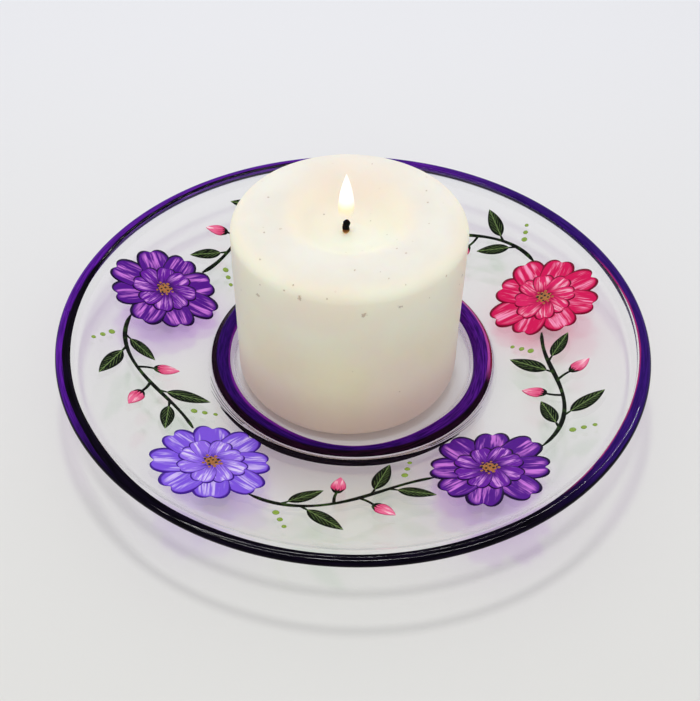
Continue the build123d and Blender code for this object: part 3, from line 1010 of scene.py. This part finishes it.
bud_paint = petal_material("pink_bud_paint", (196, 40, 92), (232, 104, 146), (252, 214, 224), (188, 46, 96),
                           (0.98, 0.80, 0.86))
berry_paint, tree = new_material("berry_green_paint", {"Roughness": 0.26})
mottle = step_node(tree, noise_node(tree, 700), 0.4, 0.62)
feed(tree, "Base Color", blend_node(tree, mottle, srgb(96, 128, 30), srgb(156, 184, 70)))
shade_through(tree, (0.88, 0.94, 0.76, 1))

bud_side_shares = ((0, 0), (0.05, 0.78), (0.70, 0.42), (1, 0))
bud_side = [(along * bud_length, across * bud_width) for along, across in bud_side_shares]
bud_half = [bezier(bud_side, step / 16) for step in range(17)]
for number in range(len(blossom_spots)):
    sheets = []
    for index, (share, side) in enumerate(bud_spots):
        stem = beside_vine(number, share, side, bud_lean) @ Matrix.Translation((bud_stalk, 0, 0))
        sheets.append((blade(bud_half, 0, bud_length, 6), bud_thickness, 90 + number * 5 + index * 2.7, stem))
    buds = seated(f"bud_dabs_{number + 1}", sheets, Matrix.Identity(4), seat, bud_paint)
    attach(buds, "plate")
    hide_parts(f"buds_{number + 1}")
    spots = []
    for share, side in berry_spots:
        beside = beside_vine(number, share, side, 90) @ Matrix.Translation((vine_width, 0, 0))
        row = beside @ Matrix.Rotation(side * radians(berry_lean - 90), 4, "Z")
        for step, size_share in enumerate(berry_size_shares):
            spot = on_plan(row, (step + 1) * berry_step, 0)
            spots.append((spot.x, spot.y, berry_size * size_share, berry_height * size_share))
    berries = domes(f"berry_dots_{number + 1}", spots, seat, berry_paint)
    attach(berries, "plate")
    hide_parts(f"berries_{number + 1}")


# Wax pillar
# A cast ivory pillar of soft translucent wax, rounded at shoulder and foot, and burnt a little hollow round
# the wick. Its skin has faint ripples, small brown specks and a few dents from handling. It stands loose in
# the plate's well. Its colour carries painted light and shade: lighter high on the side and away from the
# front, darker on top and towards the foot, and a painted peach glow of the flame on the wax behind the wick.
wax_low, wax_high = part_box("wax_body")
candle_x = (wax_low.x + wax_high.x) / 2
candle_y = (wax_low.y + wax_high.y) / 2
candle_radius = (wax_high.x - wax_low.x) / 2
candle_base = wax_low.z
candle_top = wax_high.z
base_rounding = 5.0 * mm
side_bottom = candle_base + base_rounding
shoulder_width = 9.5 * mm
shoulder_drop = 6.6 * mm
side_top = candle_top - shoulder_drop
crest = candle_radius - shoulder_width
dish_depth = 6.7 * mm
dish_floor = 7.0 * mm
dish_run = crest - dish_floor
wick_radius = 1.1 * mm
wax_at_wick = candle_top - dish_depth
wax_climb = 0.35 * mm
ripple = 0.12 * mm
ripple_scale = 55
fine_ripple = 0.035 * mm
fine_ripple_scale = 210
ripple_room = 0.1 * mm
plain_core = 2 * mm
plain_base = 0.5 * mm
dent_spots = ((2.96, -39.96, 58.2), (13.7, -36.9, 59.3), (-28.8, -28.9, 55.5), (-15.6, -37.7, 62.2),
              (33.3, -15.4, 54.0))
dent_reach = 1.9 * mm
dent_edge = 0.4 * mm

shoulder_curve = [(candle_radius, side_top), (candle_radius, side_top + shoulder_drop * 0.5),
                  (crest + shoulder_width * 0.5, candle_top), (crest, candle_top)]
dish_curve = [(crest, candle_top), (crest - dish_run * 0.45, candle_top),
              (dish_floor + dish_run * 0.45, wax_at_wick), (dish_floor, wax_at_wick)]
wax_outline = [(r, candle_base) for r in (0, 8 * mm, 20 * mm)]
wax_outline += arc(candle_radius - base_rounding, side_bottom, base_rounding, -90, 0, 12)
wax_outline += [(candle_radius, side_bottom + (side_top - side_bottom) * step / 26) for step in range(1, 26)]
wax_outline += [tuple(bezier(shoulder_curve, step / 16)) for step in range(17)]
wax_outline += [tuple(bezier(dish_curve, step / 20)) for step in range(1, 21)]
wax_outline += [(r, wax_at_wick) for r in (5 * mm, 3.4 * mm, 2.4 * mm, 1.6 * mm)]
wax_outline += [(wick_radius + 0.15 * mm, wax_at_wick + wax_climb), (0, wax_at_wick + 0.3 * mm)]


def wax_skin(point):
    """Slow ripples of the mould and the melt, less than a fifth of a millimetre."""
    away = Vector((point.x - candle_x, point.y - candle_y, 0))
    if away.length < plain_core or point.z < candle_base + plain_base:
        return point
    depth = ripple * noise.noise(point * ripple_scale) + fine_ripple * noise.noise(point * fine_ripple_scale)
    out = away.normalized()
    if point.z > side_top:
        share = min(1, (point.z - side_top) / shoulder_drop)
        out = (out * (1 - share) + Vector((0, 0, share))).normalized()
    return point + out * (depth - ripple_room)


def distance_node(tree, place, point):
    """How far a place on the object is from a point."""
    node = tree.nodes.new("ShaderNodeVectorMath")
    node.operation = "DISTANCE"
    node.inputs[1].default_value = point
    tree.links.new(place, node.inputs[0])
    return node.outputs["Value"]


wax, tree = new_material("ivory_wax", {
    "Roughness": 0.48,
    "Subsurface Weight": 1, "Subsurface Radius": (1.0, 0.78, 0.55), "Subsurface Scale": 8 * mm,
    "Sheen Weight": 0.16, "Sheen Tint": (1, 0.95, 0.92, 1), "Sheen Roughness": 0.5})
place = place_node(tree)
x, y, z = parts_of(tree, place)
cloud = noise_node(tree, 60, 4, place)
mixed = step_node(tree, cloud, 0.3, 0.7)
ragged = noise_node(tree, 1300, 2, place)

side_tone = blend_node(tree, mixed, srgb(246, 237, 206), srgb(241, 231, 201))
# Painted light: the side is painted lighter high up towards the shoulder, and away from the front.
painted_light_upper = step_node(tree, z, candle_base + 24 * mm, side_top)
side_tone = blend_node(tree, painted_light_upper, side_tone, srgb(253, 246, 226))
painted_light_flanks = opposite(tree, facing(tree, math_node(tree, "ARCTAN2", y, x), 272, 0.25, 0.9))
side_tone = blend_node(tree, painted_light_flanks, side_tone, srgb(255, 241, 217))
patch = product(tree, step_node(tree, noise_node(tree, 34, 1, place), 0.5, 0.68), 0.6)
side_tone = blend_node(tree, patch, side_tone, srgb(248, 233, 214))
# Painted shade: the top is painted darker than the side below it, where the lamps light it most.
painted_shade_top = blend_node(tree, mixed, srgb(235, 232, 222), srgb(231, 227, 216))
colour = blend_node(tree, step_node(tree, z, side_top + 2 * mm, candle_top), side_tone, painted_shade_top)
# Painted shade: the wax darkens and turns pinker towards the foot.
painted_shade_foot = product(tree, fade_node(tree, z, candle_base, candle_base + 26 * mm), 0.85)
colour = blend_node(tree, painted_shade_foot, colour, srgb(216, 190, 174))
# Painted light: a peach glow of the flame on the wax behind the wick.
from_flame = distance_node(tree, place, (candle_x, candle_y + 15 * mm, candle_top))
painted_flame_glow = product(tree, fade_node(tree, from_flame, 4 * mm, 25 * mm), 0.7)
colour = blend_node(tree, painted_flame_glow, colour, srgb(242, 228, 213))

cells = tree.nodes.new("ShaderNodeTexVoronoi")
cells.inputs["Scale"].default_value = 400
tree.links.new(place, cells.inputs["Vector"])
cell_draw = parts_of(tree, cells.outputs["Color"])[0]
on_top = step_node(tree, z, side_top - 8 * mm, side_top)
chosen = step_node(tree, math_node(tree, "MULTIPLY_ADD", on_top, 0.14, cell_draw), 0.95, 1.0)
from_cell = math_node(tree, "MULTIPLY_ADD", ragged, 0.28, cells.outputs["Distance"])
speck = product(tree, fade_node(tree, from_cell, 0.2, 0.3), chosen)
colour = blend_node(tree, product(tree, speck, 0.6), colour, srgb(168, 138, 104))
dents = 0.0
for spot in dent_spots:
    from_dent = distance_node(tree, place, Vector(spot) * mm)
    from_dent = math_node(tree, "MULTIPLY_ADD", ragged, 3.0 * mm, from_dent)
    dent = fade_node(tree, from_dent, dent_reach, dent_reach + dent_edge)
    dents = math_node(tree, "MAXIMUM", dent, dents)
feed(tree, "Base Color", blend_node(tree, product(tree, dents, 0.5), colour, srgb(160, 134, 100)))
marks = math_node(tree, "MULTIPLY_ADD", dents, -1.8, product(tree, speck, -0.8))
relief(tree, math_node(tree, "ADD", cloud, marks), 0.12 * mm)
shade_through(tree, (0.50, 0.37, 0.30, 1), thick=True)

pillar = turned("wax_pillar", wax_outline, wax, (candle_x, candle_y), closed=False, shift=wax_skin)
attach(pillar, "candle")
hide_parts("wax_body")


# Wick and clip
# A braided cotton wick runs through the candle. The end that stands out of the wax is burnt black and leans a
# little, with a brown band where it meets the wax. A thin steel disc with a neck holds it in the base.
wick_low, wick_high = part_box("wick")
wick_x = (wick_low.x + wick_high.x) / 2
wick_y = (wick_low.y + wick_high.y) / 2
wick_start = wax_at_wick - 1.0 * mm
wick_sides = 20
wick_levels = 30
strand_depth = 0.12 * mm
crumb_depth = 0.16 * mm
tip_lean = 0.2 * mm

wick_points, wick_rings = [], []
for level in range(wick_levels + 1):
    share = level / wick_levels
    height = wick_start + (wick_high.z - wick_start) * share
    taper = sqrt(min(1, (1 - share) * 6 + 0.25))
    lean = tip_lean * share * share
    wick_rings.append(list(range(len(wick_points), len(wick_points) + wick_sides)))
    for side in range(wick_sides):
        angle = 2 * pi * side / wick_sides
        strand = strand_depth * sin(3 * angle + (height - wax_at_wick) / mm * 2.6)
        crumb = crumb_depth * noise.noise(Vector((cos(angle), sin(angle), height / mm * 1.4)) * 1.8) * share
        size = (wick_radius * (0.94 + 0.08 * share) + strand + crumb) * taper
        wick_points.append((wick_x + size * cos(angle) + lean, wick_y + size * sin(angle), height))
wick_faces = between(wick_rings) + [wick_rings[0][::-1], wick_rings[-1]]

char, tree = new_material("charred_cotton", {"Roughness": 0.85, "Specular IOR Level": 0.1})
above_wax = math_node(tree, "SUBTRACT", parts_of(tree, place_node(tree))[2], wax_at_wick)
grain = noise_node(tree, 1500)
burnt = math_node(tree, "MULTIPLY_ADD", grain, 0.8, product(tree, above_wax, 1 / mm))
singed = blend_node(tree, step_node(tree, burnt, 0.5, 1.0), srgb(206, 166, 104), srgb(122, 74, 40))
feed(tree, "Base Color", blend_node(tree, step_node(tree, burnt, 1.3, 1.8), singed, srgb(5, 4, 4)))
relief(tree, grain, 0.1 * mm)
wick = new_piece("wick_braid", wick_points, wick_faces, char)
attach(wick, "candle")
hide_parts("wick")

steel, tree = new_material("clip_steel", {"Metallic": 1, "Roughness": 0.35})
feed(tree, "Base Color", blend_node(tree, noise_node(tree, 300), (0.5, 0.5, 0.5, 1), (0.7, 0.7, 0.7, 1)))
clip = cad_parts["wick_clip"]
clip.data.materials.clear()
clip.data.materials.append(steel)


# Flame
# The steady flame of a small wick: white in its body, yellow below, and clear where it starts at the wick's
# tip. It isn't a solid thing, so it has no shine and throws no shadow, and it goes where the candle goes.
flame_low, flame_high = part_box("flame")
flame_x = (flame_low.x + flame_high.x) / 2
flame_y = (flame_low.y + flame_high.y) / 2
flame_radius = (flame_high.x - flame_low.x) / 2
flame_length = flame_high.z - flame_low.z
flame_foot_shares = [(0, 0), (0.7, 0), (0.93, 0.1), (0.95, 0.26)]
flame_tip_shares = [(0.95, 0.26), (0.97, 0.54), (0.42, 0.84), (0, 1)]

flame_outline = [(0, flame_low.z)]
for curve, steps in ((flame_foot_shares, 12), (flame_tip_shares, 28)):
    for step in range(1, steps + 1):
        across, up = bezier(curve, step / steps)
        flame_outline.append((across * flame_radius, flame_low.z + up * flame_length))
flame_light, tree = new_material("flame_glow", {
    "Base Color": (0, 0, 0, 1), "Roughness": 1, "Specular IOR Level": 0, "Emission Strength": 1.12})
above_foot = math_node(tree, "SUBTRACT", parts_of(tree, place_node(tree))[2], flame_low.z)
rise = math_node(tree, "DIVIDE", above_foot, flame_length)
glow = blend_node(tree, step_node(tree, rise, 0.26, 0.5), (1.0, 0.86, 0.5, 1), (1.0, 0.98, 0.93, 1))
feed(tree, "Emission Color", glow)
feed(tree, "Alpha", step_node(tree, rise, 0.08, 0.42))
flame = turned("candle_flame", flame_outline, flame_light, (flame_x, flame_y), closed=False)
flame.visible_shadow = False
flame.visible_diffuse = False
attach(flame, "candle")
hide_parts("flame")


# Table, light and camera
# A plain pale table, seen from the photograph's place. Two small soft lamps overhead throw the plate's double
# shadow, the room lights the rest evenly, and two long strips give the rim its thin lines of light.
table_half = 4.0
lamp_distance = 1.2
soft_size = (0.15, 0.15)
strip_size = (3.0, 0.035)
strip_power = 130
camera_place = Vector((0, -267.25 * mm, 260.73 * mm))
camera_yaw = -0.004
camera_pitch = 0.761
camera_roll = 0.019
focal_pixels = 1050
picture_height = 701
sensor_width = 36

table_paint, tree = new_material("table_white", {"Roughness": 0.75})
# Painted light: the table is painted darker towards the front and lighter towards the back.
towards_back = math_node(tree, "MULTIPLY_ADD", noise_node(tree, 3), 0.1, parts_of(tree, place_node(tree))[1])
painted_light_far = step_node(tree, towards_back, -0.15, 0.35)
feed(tree, "Base Color", blend_node(tree, painted_light_far, srgb(223, 222, 218), srgb(231, 231, 234)))
corners = [(x * table_half, y * table_half, 0) for x, y in ((-1, -1), (1, -1), (1, 1), (-1, 1))]
table = new_piece("table", corners, [(0, 1, 2, 3)], table_paint)

painted_bands = bpy.data.collections.new("painted_bands")
for piece in (rim, ring_shade):
    painted_bands.objects.link(piece)


def overhead_light(name, tilt, shape, size, power):
    """A lamp overhead, tilted by degrees towards the back of the table, or to the front if negative."""
    lamp = bpy.data.lights.new(name, "AREA")
    lamp.shape = shape
    lamp.size, lamp.size_y = size
    lamp.energy = power
    holder = bpy.data.objects.new(name, lamp)
    bpy.context.scene.collection.objects.link(holder)
    way = Vector((-0.05, sin(radians(tilt)), cos(radians(tilt)))).normalized()
    holder.location = way * lamp_distance
    holder.rotation_euler = way.to_track_quat("Z", "Y").to_euler()
    return holder


for tilt, power in ((20, 2.7), (-13, 2.1)):
    soft = overhead_light(f"soft_lamp_{tilt}", tilt, "DISK", soft_size, power)
    soft.visible_glossy = False
    soft.visible_transmission = False
for tilt in (4, -45):
    strip = overhead_light(f"strip_{tilt}", tilt, "RECTANGLE", strip_size, strip_power)
    strip.visible_diffuse = False
    strip.visible_transmission = False
    strip.light_linking.receiver_collection = painted_bands

world = bpy.data.worlds.new("room")
bpy.context.scene.world = world
world.use_nodes = True
tree = world.node_tree
room = tree.nodes["Background"]
room.inputs["Color"].default_value = (0.97, 0.98, 1.0, 1)
room.inputs["Strength"].default_value = 0.745
backdrop = tree.nodes.new("ShaderNodeBackground")
backdrop.inputs["Color"].default_value = srgb(232, 231, 235)
backdrop.inputs["Strength"].default_value = 1
rays = tree.nodes.new("ShaderNodeLightPath").outputs
seen = math_node(tree, "MAXIMUM", rays["Is Camera Ray"], rays["Is Glossy Ray"])
seen = math_node(tree, "MAXIMUM", seen, rays["Is Transmission Ray"])
mix_by_ray(tree, seen, room, backdrop, "World Output")

ahead = Vector((sin(camera_yaw) * cos(camera_pitch), cos(camera_yaw) * cos(camera_pitch), -sin(camera_pitch)))
sideways = Vector((cos(camera_yaw), -sin(camera_yaw), 0))
upwards = sideways.cross(ahead)
right = sideways * cos(camera_roll) + upwards * sin(camera_roll)
up = upwards * cos(camera_roll) - sideways * sin(camera_roll)
lens = bpy.data.cameras.new("camera")
lens.sensor_width = sensor_width
lens.lens = focal_pixels * sensor_width / picture_height
lens.clip_start = 0.01
camera = bpy.data.objects.new("camera", lens)
bpy.context.scene.collection.objects.link(camera)
camera.matrix_world = Matrix((
    (right.x, up.x, -ahead.x, camera_place.x),
    (right.y, up.y, -ahead.y, camera_place.y),
    (right.z, up.z, -ahead.z, camera_place.z),
    (0, 0, 0, 1)))
bpy.context.scene.camera = camera
bpy.context.scene.view_settings.view_transform = "Standard"
